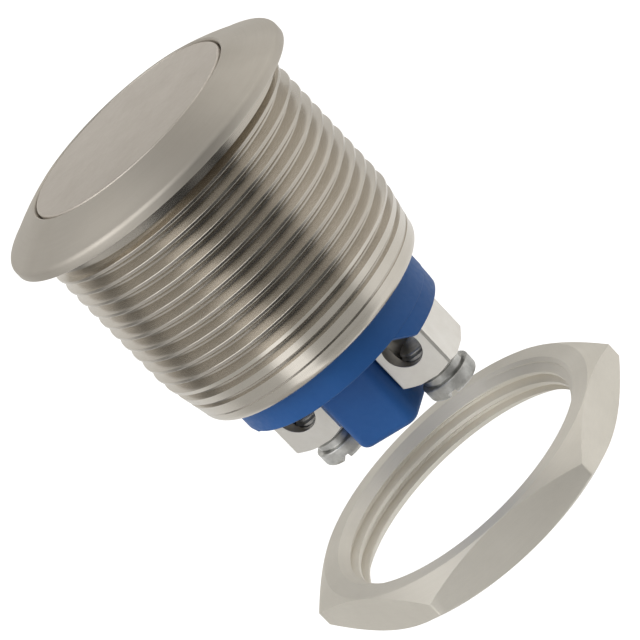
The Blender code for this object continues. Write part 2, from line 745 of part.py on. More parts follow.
def make_terminal(side, sign):
    """A square brass post, riveted through the base, with a wire hole and a tapped end."""
    x = sign * TERMINAL_X
    half = BLOCK_SIZE / 2
    terminal = bevelled_block(
        f"terminal_{side}",
        (x - half, -half, BLOCK_END_Z - BLOCK_EDGE),
        (x + half, half, BLOCK_TOP_Z),
        BLOCK_EDGE,
    )
    envelope = chamfer_envelope(
        f"terminal_chamfer_{side}",
        x,
        BLOCK_END_Z,
        BLOCK_TOP_Z + BLOCK_SIZE,
        BLOCK_CHAMFER_D / 2,
        BLOCK_SIZE / math.sqrt(2) + FIT_GAP,
        BLOCK_CHAMFER_ANGLE,
        SMALL_STEPS,
    )
    boolean(terminal, envelope, "INTERSECT")
    neck_r = RIVET_NECK_D / 2
    rivet_z = STRIP_Z + STRIP_THICKNESS + FIT_GAP
    stud_top_z = BASE_INNER_Z
    stud = turned(
        f"terminal_stud_{side}",
        [
            (0, rivet_z + TIP_HEAD),
            (STUD_D / 2, rivet_z + TIP_HEAD),
            (STUD_D / 2, rivet_z),
            (neck_r, rivet_z),
            (neck_r, stud_top_z),
            (STUD_D / 2, stud_top_z),
            (STUD_D / 2, BLOCK_TOP_Z - STUD_D / 4),
            (0, BLOCK_TOP_Z - STUD_D / 4),
        ],
        PLATED_BRASS,
        closed=False,
        steps=SMALLEST_STEPS,
        location=(x, 0, 0),
    )
    boolean(terminal, hide(stud), "UNION")
    bore_r = SCREW_D / 2 + SCREW_GAP
    bore_top_z = WIRE_HOLE_Z + SCREW_ROOM
    bore = cylinder_cutter(f"screw_bore_{side}", bore_r, BLOCK_END_Z - SCREW_D, bore_top_z, x)
    boolean(terminal, bore, "DIFFERENCE")
    wire = turned(
        f"wire_hole_{side}",
        [
            (0, BLOCK_SIZE),
            (WIRE_HOLE_D / 2, BLOCK_SIZE),
            (WIRE_HOLE_D / 2, -BLOCK_SIZE),
            (0, -BLOCK_SIZE),
        ],
        STEEL,
        closed=False,
        steps=SMALL_STEPS,
        location=(x, 0, WIRE_HOLE_Z),
    )
    wire.rotation_euler = (math.radians(90), 0, 0)
    boolean(terminal, hide(wire), "DIFFERENCE")


def make_terminal_screw(side, sign):
    """A slotted cheese-head screw, backed out a little from its post."""
    x = sign * TERMINAL_X
    tip_z = HEAD_UNDER_Z + SCREW_LENGTH
    shank_r, head_r = SCREW_D / 2, SCREW_HEAD_D / 2
    end_z = HEAD_UNDER_Z - SCREW_HEAD_HEIGHT
    corner = (head_r - SCREW_HEAD_CORNER, end_z + SCREW_HEAD_CORNER)
    profile = [
        (0, tip_z),
        (shank_r - SCREW_GAP, tip_z),
        (shank_r, tip_z - SCREW_GAP),
        (shank_r, HEAD_UNDER_Z),
        (head_r, HEAD_UNDER_Z),
    ]
    profile += arc(corner, SCREW_HEAD_CORNER, 0, -90, 3)
    profile += [(0, end_z)]
    screw = turned(
        f"terminal_screw_{side}",
        profile,
        ZINC_STEEL,
        closed=False,
        steps=SMALL_STEPS,
        location=(x, 0, 0),
    )
    slot = box(
        f"screw_slot_{side}",
        (-SLOT_WIDTH / 2, -SCREW_HEAD_D, end_z - SLOT_DEPTH),
        (SLOT_WIDTH / 2, SCREW_HEAD_D, end_z + SLOT_DEPTH),
        STEEL,
    )
    slot.location = (x, 0, 0)
    slot.rotation_euler = (0, 0, SLOT_TURN)
    boolean(screw, hide(slot), "DIFFERENCE")


def make_nut():
    """The hexagon nut, coaxial with the barrel and taken off behind the terminals."""
    low_z = NUT_TOP_Z - NUT_THICKNESS
    bm = bmesh.new()
    bmesh.ops.create_cone(
        bm,
        cap_ends=True,
        segments=6,
        radius1=NUT_FLATS / math.sqrt(3),
        radius2=NUT_FLATS / math.sqrt(3),
        depth=NUT_THICKNESS + NUT_COUNTERSINK,
    )
    mesh = bpy.data.meshes.new("mounting_nut")
    bm.to_mesh(mesh)
    bm.free()
    nut = place(mesh, "mounting_nut", SATIN_NICKEL, (0, 0, NUT_TOP_Z - NUT_THICKNESS / 2))
    envelope = chamfer_envelope(
        "nut_chamfer",
        0,
        low_z,
        NUT_TOP_Z,
        NUT_FLATS / 2 - FIT_GAP,
        NUT_FLATS / math.sqrt(3) + FIT_GAP,
        NUT_CHAMFER_ANGLE,
        TURN_STEPS,
        both_ends=True,
    )
    boolean(nut, envelope, "INTERSECT")
    bore_r = CREST_R + NUT_GAP
    mouth_r = bore_r + NUT_COUNTERSINK + NUT_GAP
    reach = NUT_COUNTERSINK + NUT_GAP
    bore = turned(
        "nut_bore",
        [
            (0, NUT_TOP_Z + NUT_GAP),
            (mouth_r, NUT_TOP_Z + NUT_GAP),
            (bore_r, NUT_TOP_Z + NUT_GAP - reach),
            (bore_r, low_z - NUT_GAP + reach),
            (mouth_r, low_z - NUT_GAP),
            (0, low_z - NUT_GAP),
        ],
        STEEL,
        closed=False,
    )
    boolean(nut, hide(bore), "DIFFERENCE")


def add_axis(name, location):
    """An empty on a joint's axis."""
    axis = bpy.data.objects.new(name, None)
    axis.location = location
    axis.empty_display_size = 2 * MM
    PARTS.objects.link(axis)
    return axis


def carry(axis, names):
    """Parents the moving pieces to the empty on their axis."""
    bpy.context.view_layer.update()
    for name in names:
        obj = bpy.data.objects[name]
        obj.parent = axis
        obj.matrix_parent_inverse = axis.matrix_world.inverted()


def make_all():
    make_housing()
    make_actuator()
    ring_seal("actuator_seal", SEAL_R, SEAL_CORD_D, SEAL_TOP_Z - SEAL_GROOVE / 2)
    make_plunger()
    make_bridge_clip()
    make_guide()
    make_springs()
    make_bridge()
    make_base()
    for side, sign in SIDES.items():
        make_fixed_contact(side, sign)
        make_terminal(side, sign)
        make_terminal_screw(side, sign)
    make_nut()
    press = add_axis("press_axis", (0, 0, FLANGE_HEIGHT))
    carry(press, ["actuator", "actuator_seal", "plunger", "bridge_clip", "contact_spring"])
    contact = add_axis("bridge_axis", (0, 0, BRIDGE_Z))
    carry(contact, ["contact_bridge", "moving_tip_left", "moving_tip_right"])
    carry(press, ["bridge_axis"])
    carry(add_axis("nut_axis", (0, 0, NUT_TOP_Z)), ["mounting_nut"])


make_all()
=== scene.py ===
import math

import bpy
from mathutils import Matrix, Vector


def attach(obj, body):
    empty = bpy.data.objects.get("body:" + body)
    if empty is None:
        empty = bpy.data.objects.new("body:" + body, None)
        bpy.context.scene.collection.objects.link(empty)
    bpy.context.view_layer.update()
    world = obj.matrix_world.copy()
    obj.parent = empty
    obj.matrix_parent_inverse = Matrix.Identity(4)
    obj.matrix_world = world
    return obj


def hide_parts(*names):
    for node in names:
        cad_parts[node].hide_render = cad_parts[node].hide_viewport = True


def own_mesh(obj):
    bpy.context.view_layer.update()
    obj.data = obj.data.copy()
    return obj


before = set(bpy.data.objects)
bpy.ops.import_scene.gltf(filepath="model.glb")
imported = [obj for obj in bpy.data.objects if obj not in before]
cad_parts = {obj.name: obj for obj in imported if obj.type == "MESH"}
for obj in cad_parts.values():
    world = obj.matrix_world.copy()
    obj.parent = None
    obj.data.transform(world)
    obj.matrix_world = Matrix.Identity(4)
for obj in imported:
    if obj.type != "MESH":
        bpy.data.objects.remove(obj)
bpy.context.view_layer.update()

MM = 0.001

# Thread of the barrel and the nut
CREST_R = 9.45 * MM
ROOT_R = 8.84 * MM
THREAD_DEPTH = CREST_R - ROOT_R
PITCH = 1.0 * MM
ROOT_FLAT = 0.11 * MM
CREST_EDGE = 0.012 * MM
HALF_ANGLE = math.radians(30)
THREAD_START = math.radians(130)

# Flange
RIM_R = 11.0 * MM
FLANGE_HEIGHT = 2.1 * MM
RIM_HEIGHT = 0.6 * MM
RIM_CORNER = 0.35 * MM
RIM_CORNER_DROP = 0.16 * MM
RIM_UNDER_EDGE = 0.06 * MM
BEZEL_LAND = 0.15 * MM
BEZEL_LIP = 0.17 * MM
BEZEL_CROWN = 0.08 * MM
UNDERCUT_R = 9.6 * MM
UNDERCUT_DEPTH = 0.2 * MM

# Barrel
NECK_R = 8.79 * MM
NECK_FULL_R = 9.4 * MM
NECK_LENGTH = 0.65 * MM
NECK_SINK = 0.3 * MM
THREAD_TOP = 0.5 * MM
THREAD_Z = -NECK_LENGTH - THREAD_DEPTH / 2
NECK_END_Z = THREAD_Z + 0.04 * MM
FIRST_EDGE = 0.03 * MM
FIRST_EDGE_LENGTH = 0.05 * MM
BARREL_LENGTH = 15.25 * MM
TAPER_LENGTH = 3.15 * MM
TAPER_DROP = 0.65 * MM
ROLL_RADIUS = 0.8 * MM
ROLL_THICKNESS = 0.9 * MM
REAR_EDGE = 0.08 * MM
BODY_BORE_R = 8.15 * MM
FRONT_BORE_R = 7.65 * MM
REAR_BORE_R = 7.55 * MM
FRONT_LIP_DEPTH = 1.0 * MM
# Where the roll leaves the taper, in degrees
ROLL_START = -12

# Actuator
FACE_R = 7.5 * MM
FACE_EDGE = 0.15 * MM
SHOULDER_Z = -1.3 * MM
LAND_R = 7.95 * MM
LAND_HEIGHT = 0.7 * MM
LAND_EDGE = 0.08 * MM
SEAL_GROOVE_R = 6.85 * MM
SEAL_GROOVE = 1.2 * MM
SKIRT_R = 6.3 * MM
FACE_UNDER_Z = 0.6 * MM
BOSS_R = 2.4 * MM
BOSS_END_Z = -1.5 * MM
SPIGOT_HOLE_R = 1.05 * MM
SPIGOT_HOLE_Z = 0.2 * MM

# Base
BASE_R = 7.4 * MM
BASE_FACE_Z = -17.35 * MM
BASE_FLANGE_Z = -14.05 * MM
BASE_INNER_Z = -12.25 * MM
BASE_FLANGE_R = 8.0 * MM
BASE_GROOVE_R = 6.75 * MM
BASE_GROOVE = 1.0 * MM
BASE_EDGE = 0.12 * MM
WELL_R = 1.7 * MM
WELL_DEPTH = 0.85 * MM
RIM_WALL_R = 7.35 * MM
RIM_WALL = 0.3 * MM
RIM_WALL_EDGE = 0.07 * MM
RIM_WALL_HEIGHT = 1.15 * MM
RIM_WALL_WIDTH = 5.7 * MM
RIM_WALL_FOOT = 8.3 * MM
BARRIER_WIDTH = 4.803 * MM
BARRIER_DEPTH = 5.7 * MM
BARRIER_LENGTH = 6.25 * MM
BARRIER_CORNER = 0.9 * MM
BARRIER_END_CORNER = 0.55 * MM
POCKET_DEPTH = 0.95 * MM
POCKET_SIZE = 4.24 * MM
STUD_HOLE_R = 1.0 * MM

# Terminals
TERMINAL_X = 4.5515 * MM
BLOCK_SIZE = 4.0 * MM
BLOCK_TOP_Z = -16.7 * MM
BLOCK_END_Z = -21.9 * MM
BLOCK_EDGE = 0.15 * MM
CHAMFER_R = 2.1 * MM
STUD_R = 0.9 * MM
STUD_NECK_R = 0.65 * MM
RIVET_Z = -11.75 * MM
RIVET_HEIGHT = 0.4 * MM
RIVET_EDGE = 0.12 * MM
WIRE_HOLE_R = 1.3 * MM
WIRE_HOLE_Z = -19.2 * MM
WIRE_HOLE_EDGE = 0.03 * MM
SCREW_BORE_R = 1.6 * MM
SCREW_BORE_Z = -18.6 * MM

# Terminal screws
SCREW_R = 1.5 * MM
SCREW_PITCH = 0.5 * MM
SCREW_TURNS = 6
SCREW_GROOVE = 0.22 * MM
SCREW_ROOT_FLAT = 0.05 * MM
SCREW_TIP_Z = -20.0 * MM
SCREW_TIP_EDGE = 0.25 * MM
SCREW_RELIEF = 0.18 * MM
SCREW_RELIEF_LENGTH = 0.15 * MM
HEAD_R = 1.8 * MM
HEAD_UNDER_Z = -22.8 * MM
HEAD_END_Z = -23.9 * MM
HEAD_EDGE = 0.05 * MM
HEAD_CORNER = 0.35 * MM
SLOT_WIDTH = 0.6 * MM
SLOT_DEPTH = 0.4 * MM
SLOT_TURN = math.radians(12)

# Nut
NUT_FLATS = 22.0 * MM
NUT_TOP_Z = -29.0 * MM
NUT_THICKNESS = 3.0 * MM
NUT_CHAMFER_R = 10.95 * MM
NUT_EDGE = 0.12 * MM
NUT_SPARE = 0.2 * MM
NUT_BORE_R = 9.05 * MM
NUT_MOUTH_R = 9.8 * MM
NUT_MOUTH_SLOPE = 0.85
NUT_GROOVE_R = 9.56 * MM
NUT_GROOVE_FLAT = 0.17 * MM
NUT_GROOVE_TURNS = 6

# Springs
RETURN_COIL_R = 4.6 * MM
RETURN_WIRE_R = 0.3 * MM
RETURN_LOW_Z = -6.8 * MM
RETURN_HIGH_Z = 0.5 * MM
RETURN_TURNS = 4
CONTACT_COIL_R = 1.45 * MM
CONTACT_WIRE_R = 0.15 * MM
CONTACT_LOW_Z = -9.1 * MM
CONTACT_HIGH_Z = -6.7 * MM
CONTACT_TURNS = 2
# Lift of a closed turn, in radii of the wire
CLOSED_LIFT = 2.4

# Steps round a turn
RING_STEPS = 192
THREAD_STEPS = 160
POST_STEPS = 96
SMALL_STEPS = 64
SCREW_STEPS = 60
COIL_STEPS = 48

# Spare size of a tool past a corner, and distances under which points are merged
CLEAR = 0.05 * MM
MERGE = 0.0005 * MM
SLIVER = 0.002 * MM


def select_none():
    bpy.ops.object.select_all(action="DESELECT")


def use(piece):
    """Makes a piece the only selected one."""
    select_none()
    piece.select_set(True)
    bpy.context.view_layer.objects.active = piece


def draw_outline(name, points, closed=True):
    """Draws an outline of (radius, height) points by pulling one point along it."""
    select_none()
    r, z = points[0]
    bpy.ops.mesh.primitive_plane_add(size=MM, location=(r, 0, z))
    piece = bpy.context.object
    piece.name = piece.data.name = name
    bpy.ops.object.transform_apply(location=True, rotation=True, scale=True)
    bpy.ops.object.mode_set(mode="EDIT")
    bpy.ops.mesh.select_all(action="SELECT")
    bpy.ops.mesh.merge(type="CENTER")
    for next_r, next_z in points[1:] + (points[:1] if closed else []):
        move = (next_r - r, 0, next_z - z)
        bpy.ops.mesh.extrude_vertices_move(TRANSFORM_OT_translate={"value": move})
        r, z = next_r, next_z
    bpy.ops.mesh.select_all(action="SELECT")
    bpy.ops.mesh.remove_doubles(threshold=MERGE)
    bpy.ops.object.mode_set(mode="OBJECT")
    return piece


def spin_outline(piece, steps, turns=1, lift=0.0):
    """Turns an outline round the upright axis, rising by lift each turn."""
    use(piece)
    screw = piece.modifiers.new("turn", "SCREW")
    screw.steps = screw.render_steps = steps
    screw.iterations = turns
    screw.screw_offset = lift
    screw.use_merge_vertices = lift == 0.0
    screw.merge_threshold = MERGE
    bpy.ops.object.modifier_apply(modifier="turn")


def tidy_faces(piece, fill=False, merge=MERGE):
    """Merges doubled points, fills open ends where asked, and points the faces outwards."""
    use(piece)
    bpy.ops.object.mode_set(mode="EDIT")
    bpy.ops.mesh.select_all(action="SELECT")
    bpy.ops.mesh.remove_doubles(threshold=merge)
    if fill:
        bpy.ops.mesh.fill_holes(sides=0)
        bpy.ops.mesh.select_all(action="SELECT")
    bpy.ops.mesh.normals_make_consistent(inside=False)
    bpy.ops.object.mode_set(mode="OBJECT")


def turned(name, points, steps=RING_STEPS, closed=True):
    """A turned piece from an outline of (radius, height) points."""
    piece = draw_outline(name, points, closed)
    spin_outline(piece, steps)
    tidy_faces(piece)
    return piece


def shift(piece, x=0.0, z=0.0, spin=0.0, tip=0.0):
    """Tips a piece about X, spins it about Z, moves it, and puts its place into its mesh."""
    use(piece)
    piece.location = (x, 0, z)
    piece.rotation_euler = (tip, 0, spin)
    bpy.ops.object.transform_apply(location=True, rotation=True, scale=True)
    return piece


def helix(name, points, z, turns, pitch=PITCH, steps=THREAD_STEPS, first=THREAD_START):
    """A right-hand helical tool from an outline of (radius, height) points, from z up."""
    tool = draw_outline(name, [(r, z + h) for r, h in points])
    spin_outline(tool, steps, turns, pitch)
    tidy_faces(tool, fill=True)
    return shift(tool, spin=first + math.pi / steps)


def rectangle(inner_r, outer_r, high_z, low_z):
    return [(inner_r, high_z), (outer_r, high_z), (outer_r, low_z), (inner_r, low_z)]


def both_sides(points):
    """An outline from its upper half and the same points mirrored below."""
    return points + [(r, -z) for r, z in reversed(points)]


def arc(centre, radius, first, last, count):
    """Points of an arc in the outline's plane, with its angles in degrees."""
    points = []
    for i in range(count + 1):
        angle = math.radians(first + (last - first) * i / count)
        points.append((centre[0] + radius * math.cos(angle), centre[1] + radius * math.sin(angle)))
    return points


def drill(name, radius, high_z, low_z, x=0.0):
    """A plain round tool that stands upright at x."""
    tool = turned(name, rectangle(0, radius, high_z, low_z), SMALL_STEPS, closed=False)
    return shift(tool, x=x, spin=math.pi / SMALL_STEPS)


def block(name, low, high):
    """A box between two corners."""
    select_none()
    middle = [(a + b) / 2 for a, b in zip(low, high)]
    bpy.ops.mesh.primitive_cube_add(size=1, location=middle)
    piece = bpy.context.object
    piece.name = piece.data.name = name
    piece.scale = [b - a for a, b in zip(low, high)]
    bpy.ops.object.transform_apply(location=True, rotation=True, scale=True)
    return piece


def cut(piece, tool, operation="DIFFERENCE"):
    """Cuts or joins a tool piece, which is then gone."""
    use(piece)
    boolean = piece.modifiers.new("cut", "BOOLEAN")
    boolean.operation = operation
    boolean.solver = "EXACT"
    boolean.object = tool
    bpy.ops.object.modifier_apply(modifier="cut")
    bpy.data.objects.remove(tool)
    return piece


def upright(a, b):
    """True for the two ends of an upright edge."""
    return abs(a.z - b.z) > MM


def bevel_where(piece, chosen, offset, segments):
    """Bevels the edges whose two ends both pass the test."""
    use(piece)
    bpy.ops.object.mode_set(mode="EDIT")
    bpy.ops.mesh.select_mode(type="EDGE")
    bpy.ops.mesh.select_all(action="DESELECT")
    bpy.ops.object.mode_set(mode="OBJECT")
    points = piece.data.vertices
    for edge in piece.data.edges:
        a, b = (points[i].co for i in edge.vertices)
        edge.select = chosen(a, b)
    bpy.ops.object.mode_set(mode="EDIT")
    bpy.ops.mesh.bevel(offset=offset, segments=segments, affect="EDGES")
    bpy.ops.mesh.select_mode(type="VERT")
    bpy.ops.object.mode_set(mode="OBJECT")
    return piece


def show(piece, material, slot, body, *nodes, angle=30):
    """Finishes a piece: its shading, material, body and the nodes that it replaces."""
    use(piece)
    bpy.ops.object.shade_smooth_by_angle(angle=math.radians(angle))
    piece.data.materials.clear()
    piece.data.materials.append(material)
    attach(piece, body)
    if nodes:
        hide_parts(*nodes)
    return piece


# Node trees of the materials and the studio


def opaque(colour):
    """A colour's three shares with full alpha, or a node's output as it is."""
    return colour if hasattr(colour, "is_output") else (*colour, 1)


class Tree:
    """Adds nodes to a node tree."""

    def __init__(self, tree):
        self.tree = tree

    def feed(self, socket, value):
        """Links a node's output to a socket, or sets the socket to a value."""
        if hasattr(value, "is_output"):
            self.tree.links.new(value, socket)
        else:
            socket.default_value = value

    def node(self, kind, inputs=(), **settings):
        made = self.tree.nodes.new(kind)
        for key, value in settings.items():
            setattr(made, key, value)
        for key, value in dict(inputs).items():
            self.feed(made.inputs[key], value)
        return made

    def math(self, operation, a, b=0.0):
        return self.node("ShaderNodeMath", {0: a, 1: b}, operation=operation).outputs[0]

    def length(self, a, b):
        squares = self.math("ADD", self.math("MULTIPLY", a, a), self.math("MULTIPLY", b, b))
        return self.math("SQRT", squares)

    def split(self, vector):
        return self.node("ShaderNodeSeparateXYZ", {0: vector}).outputs

    def join(self, x, y, z):
        return self.node("ShaderNodeCombineXYZ", {0: x, 1: y, 2: z}).outputs[0]

    def level(self, value, given, wanted):
        """Maps a value from the given range to the wanted one, and stops at its ends."""
        ranges = {"From Min": given[0], "From Max": given[1], "To Min": wanted[0], "To Max": wanted[1]}
        return self.node("ShaderNodeMapRange", {"Value": value, **ranges}).outputs[0]

    def mix(self, share, a, b):
        """A blend of two colours."""
        inputs = {0: share, 6: opaque(a), 7: opaque(b)}
        return self.node("ShaderNodeMix", inputs, data_type="RGBA").outputs[2]


class Finish(Tree):
    """A material whose patterns read the piece's own coordinates."""

    def __init__(self, name, metallic, roughness):
        self.material = bpy.data.materials.new(name)
        self.material.use_nodes = True
        super().__init__(self.material.node_tree)
        self.shader = self.tree.nodes["Principled BSDF"]
        self.place = self.node("ShaderNodeTexCoord").outputs["Object"]
        self.set("Metallic", metallic)
        self.set("Roughness", roughness)

    def set(self, name, value):
        self.feed(self.shader.inputs[name], value)

    def stretched(self, scale):
        return self.node("ShaderNodeMapping", {"Vector": self.place, "Scale": scale}).outputs[0]

    def noise(self, vector, scale, detail, roughness=0.55):
        inputs = {"Vector": vector, "Scale": scale, "Detail": detail, "Roughness": roughness}
        return self.node("ShaderNodeTexNoise", inputs).outputs[0]

    def bump(self, height, distance):
        return self.node("ShaderNodeBump", {"Height": height, "Distance": distance}).outputs[0]


# Materials

# Share of the angle that a turned surface's streaks follow, so that they run round it
ROUND_SHARE = 0.0004


def turned_metal(name, light, dark, head_rough, barrel_rough, groove, anisotropic):
    """Metal with the fine rings that turning leaves: satin on the head, smoother below the flange."""
    nodes = Finish(name, 1.0, head_rough)
    x, y, z = nodes.split(nodes.place)
    angle = nodes.math("ARCTAN2", y, x)
    cloud = nodes.noise(nodes.place, scale=220.0, detail=4.0)
    rings = nodes.join(nodes.length(x, y), nodes.math("MULTIPLY", angle, ROUND_SHARE), z)
    streak = nodes.noise(rings, scale=6000.0, detail=2.0)
    tone = nodes.mix(nodes.level(cloud, (0.35, 0.75), (0.0, 0.5)), light, dark)
    nodes.set("Base Color", nodes.mix(nodes.level(streak, (0.35, 0.75), (0.0, 0.2)), tone, dark))
    rough = nodes.level(z, (-0.3 * MM, 0.2 * MM), (barrel_rough, head_rough))
    nodes.set("Roughness", nodes.math("ADD", rough, nodes.level(cloud, (0.3, 0.75), (-0.03, 0.05))))
    nodes.set("Normal", nodes.bump(streak, groove))
    nodes.set("Anisotropic", anisotropic)
    nodes.set("Anisotropic Rotation", 0.25)
    tangent = nodes.node("ShaderNodeTangent", direction_type="RADIAL", axis="Z")
    nodes.set("Tangent", tangent.outputs[0])
    return nodes.material


def moulded(name, light, dark, roughness, grain, specular=0.5):
    """Moulded plastic or rubber with a fine grain and slight clouds of tone."""
    nodes = Finish(name, 0.0, roughness)
    cloud = nodes.noise(nodes.place, scale=300.0, detail=4.0)
    fine = nodes.noise(nodes.place, scale=2600.0, detail=4.0, roughness=0.6)
    clouds = nodes.level(cloud, (0.3, 0.75), (0.0, 1.0))
    share = nodes.math("MULTIPLY", clouds, nodes.level(fine, (0.3, 0.7), (0.7, 1.0)))
    nodes.set("Base Color", nodes.mix(share, light, dark))
    nodes.set("Roughness", nodes.level(fine, (0.3, 0.75), (roughness - 0.07, roughness + 0.1)))
    nodes.set("Normal", nodes.bump(fine, grain))
    nodes.set("Specular IOR Level", specular)
    return nodes.material


def bore_shade_share(nodes):
    """Where the bores' painted shade goes: one inside a terminal's wire hole and screw bore, and zero on
    its faces.
    """
    x, y, z = nodes.split(nodes.place)
    wall = 0.02 * MM
    face = 0.01 * MM
    across = nodes.math("SUBTRACT", nodes.math("ABSOLUTE", x), TERMINAL_X)
    over = nodes.math("SUBTRACT", z, WIRE_HOLE_Z)
    hole = nodes.math("LESS_THAN", nodes.length(across, over), WIRE_HOLE_R + wall)
    inside = nodes.math("LESS_THAN", nodes.math("ABSOLUTE", y), BLOCK_SIZE / 2 - face)
    bore = nodes.math("LESS_THAN", nodes.length(across, y), SCREW_BORE_R + wall)
    under = nodes.math("LESS_THAN", z, SCREW_BORE_Z)
    above = nodes.math("GREATER_THAN", z, BLOCK_END_Z + face)
    wire_hole = nodes.math("MULTIPLY", hole, inside)
    screw_bore = nodes.math("MULTIPLY", bore, nodes.math("MULTIPLY", under, above))
    return nodes.math("MAXIMUM", wire_hole, screw_bore)


def plated(name, light, dark, roughness, grain, scale=1800.0, brush=(1, 1, 1), painted_bore_shade=None):
    """Plated or stamped metal with a mottled tone, small pits and a brushed direction, and painted shade
    inside the terminals' bores where asked.
    """
    nodes = Finish(name, 1.0, roughness)
    cloud = nodes.noise(nodes.place, scale=420.0, detail=5.0, roughness=0.65)
    fine = nodes.noise(nodes.stretched(brush), scale=scale, detail=4.0, roughness=0.6)
    tone = nodes.mix(nodes.level(cloud, (0.3, 0.75), (0.0, 0.9)), light, dark)
    # Painted shade: a darker colour inside the terminals' wire holes and screw bores
    if painted_bore_shade:
        tone = nodes.mix(bore_shade_share(nodes), tone, painted_bore_shade)
    nodes.set("Base Color", tone)
    nodes.set("Roughness", nodes.level(fine, (0.3, 0.75), (roughness - 0.08, roughness + 0.12)))
    nodes.set("Normal", nodes.bump(fine, grain))
    return nodes.material


satin_nickel = turned_metal(
    "satin_nickel",
    light=(0.66, 0.62, 0.56),
    dark=(0.56, 0.52, 0.46),
    head_rough=0.58,
    barrel_rough=0.24,
    groove=0.0001 * MM,
    anisotropic=0.35,
)
nut_nickel = turned_metal(
    "nut_nickel",
    light=(0.86, 0.825, 0.755),
    dark=(0.75, 0.72, 0.655),
    head_rough=0.6,
    barrel_rough=0.6,
    groove=0.0003 * MM,
    anisotropic=0.3,
)
satin_face = plated(
    "satin_face",
    light=(0.74, 0.69, 0.63),
    dark=(0.67, 0.62, 0.56),
    roughness=0.56,
    grain=0.0008 * MM,
    scale=2600.0,
)
bright_steel = plated(
    "bright_steel",
    light=(0.66, 0.66, 0.64),
    dark=(0.50, 0.50, 0.48),
    roughness=0.24,
    grain=0.0006 * MM,
)
zinc_steel = plated(
    "zinc_steel",
    light=(0.80, 0.80, 0.78),
    dark=(0.11, 0.11, 0.105),
    roughness=0.42,
    grain=0.0025 * MM,
    scale=2600.0,
)
plated_brass = plated(
    "plated_brass",
    light=(0.92, 0.90, 0.86),
    dark=(0.82, 0.79, 0.74),
    roughness=0.42,
    grain=0.001 * MM,
    scale=1500.0,
    brush=(1, 1, 0.25),
    # Painted shade inside the wire holes and screw bores
    painted_bore_shade=(0.34, 0.32, 0.29),
)
copper_strip = plated(
    "copper_strip",
    light=(0.80, 0.42, 0.26),
    dark=(0.55, 0.26, 0.15),
    roughness=0.3,
    grain=0.001 * MM,
    scale=1500.0,
    brush=(0.2, 1, 1),
)
contact_silver = plated(
    "contact_silver",
    light=(0.88, 0.87, 0.84),
    dark=(0.70, 0.69, 0.66),
    roughness=0.25,
    grain=0.0006 * MM,
)
blue_plastic = moulded(
    "blue_plastic",
    light=(0.02, 0.13, 0.43),
    dark=(0.015, 0.105, 0.355),
    roughness=0.5,
    grain=0.0015 * MM,
    specular=0.4,
)
black_plastic = moulded(
    "black_plastic",
    light=(0.026, 0.026, 0.028),
    dark=(0.014, 0.014, 0.015),
    roughness=0.5,
    grain=0.0015 * MM,
)
white_plastic = moulded(
    "white_plastic",
    light=(0.78, 0.77, 0.73),
    dark=(0.66, 0.65, 0.61),
    roughness=0.45,
    grain=0.0015 * MM,
)
black_rubber = moulded(
    "black_rubber",
    light=(0.02, 0.02, 0.02),
    dark=(0.012, 0.012, 0.012),
    roughness=0.75,
    grain=0.003 * MM,
)


# Housing


def bezel_outline():
    """Points from the bezel's inner edge over its crowned cone and round the rim."""
    inner_r = FRONT_BORE_R + BEZEL_LAND
    corner = (RIM_R - RIM_CORNER, RIM_HEIGHT - RIM_CORNER_DROP)
    slope = corner[1] + RIM_CORNER - FLANGE_HEIGHT
    points = [(FRONT_BORE_R, FLANGE_HEIGHT - BEZEL_LAND)]
    points += arc((FRONT_BORE_R + BEZEL_LIP, FLANGE_HEIGHT - BEZEL_LIP), BEZEL_LIP, 165, 95, 4)
    steps = 14
    for i in range(1, steps):
        share = i / steps
        crown = 4 * BEZEL_CROWN * share * (1 - share)
        r = inner_r + (corner[0] - inner_r) * share
        points.append((r, FLANGE_HEIGHT + slope * share + crown))
    points += arc(corner, RIM_CORNER, 65, 0, 7)
    points += arc((RIM_R - RIM_UNDER_EDGE, RIM_UNDER_EDGE), RIM_UNDER_EDGE, 0, -90, 3)
    return points


def barrel_outline():
    """Points from under the flange down the barrel, round its rolled end and up the bore."""
    taper_z = -BARREL_LENGTH + ROLL_RADIUS
    taper_r = CREST_R - TAPER_DROP
    seat_z = -BARREL_LENGTH + ROLL_THICKNESS
    points = [
        (UNDERCUT_R, 0),
        (UNDERCUT_R, UNDERCUT_DEPTH),
        (NECK_R, UNDERCUT_DEPTH),
        (NECK_R, NECK_END_Z),
        (CREST_R - FIRST_EDGE, THREAD_Z),
        (CREST_R, THREAD_Z - FIRST_EDGE_LENGTH),
        (CREST_R, taper_z + TAPER_LENGTH),
        (taper_r, taper_z),
    ]
    points += arc((taper_r - ROLL_RADIUS, taper_z), ROLL_RADIUS, ROLL_START, -90, 12)
    points += [
        (REAR_BORE_R + REAR_EDGE, -BARREL_LENGTH),
        (REAR_BORE_R, -BARREL_LENGTH + REAR_EDGE),
        (REAR_BORE_R, seat_z),
        (BODY_BORE_R, seat_z),
        (BODY_BORE_R, -FRONT_LIP_DEPTH),
        (FRONT_BORE_R, -FRONT_LIP_DEPTH),
    ]
    return points


